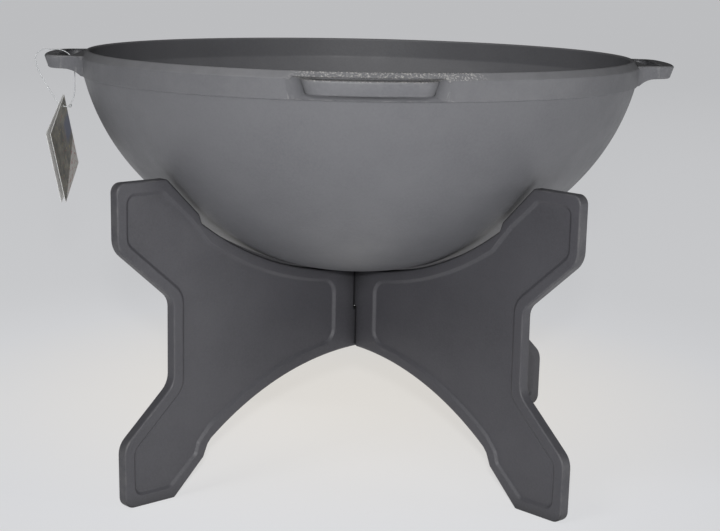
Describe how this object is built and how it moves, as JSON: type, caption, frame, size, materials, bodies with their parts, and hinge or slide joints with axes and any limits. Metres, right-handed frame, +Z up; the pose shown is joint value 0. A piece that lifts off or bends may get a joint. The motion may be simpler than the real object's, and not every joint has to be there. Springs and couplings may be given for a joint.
{
  "type": "fire bowl",
  "caption": "Round cast-iron fire bowl with loop lugs on its rim, resting on a knock-down stand of crossed plates; a folded card tag hangs from a lug.",
  "frame": {"origin": "on the floor under the axis of the bowl", "axes": "+Z up; X through the bowl's side lugs with the tag at -X; +Y from the front lug to the back lug"},
  "size_m": [0.6907, 0.677, 0.45],
  "materials": {
    "bowl_iron": "sand-cast iron under a satin mid-grey heat-resistant coating",
    "plate_iron": "sand-cast iron under a satin dark grey heat-resistant coating",
    "nylon": "clear nylon strand",
    "print": null,
    "card": "plain white card"
  },
  "bodies": {
    "lower_plate": {"stand_lower_plate": "plate_iron"},
    "upper_plate": {"stand_upper_plate": "plate_iron"},
    "bowl": {"fire_bowl": "bowl_iron"},
    "loop": {"tag_loop": "nylon"},
    "front_leaf": {"tag_front_leaf": "print"},
    "back_leaf": {"tag_back_leaf": "card"}
  },
  "joints": [
    {"name": "upper_plate_lift", "type": "slide", "parent": "lower_plate", "child": "upper_plate", "axis": [0, 0, 1], "range_m": [0, 0.12]},
    {"name": "bowl_lift", "type": "slide", "parent": "upper_plate", "child": "bowl", "axis": [0, 0, 1], "range_m": [0, 0.15]},
    {"name": "loop_swing", "type": "hinge", "parent": "bowl", "child": "loop", "pos_m": [-0.3315, -0.0011, 0.437], "axis": [0, 1, 0], "range_deg": [-12, 12]},
    {"name": "tag_swing", "type": "hinge", "parent": "loop", "child": "front_leaf", "pos_m": [-0.32264, -0.00119, 0.3863], "axis": [0.993, -0.1184, 0], "range_deg": [-25, 25]},
    {"name": "tag_open", "type": "hinge", "parent": "front_leaf", "child": "back_leaf", "pos_m": [-0.32236, 0.0012, 0.39883], "axis": [0.0664, 0.5565, -0.8282], "range_deg": [-1.5, 10]}
  ]
}
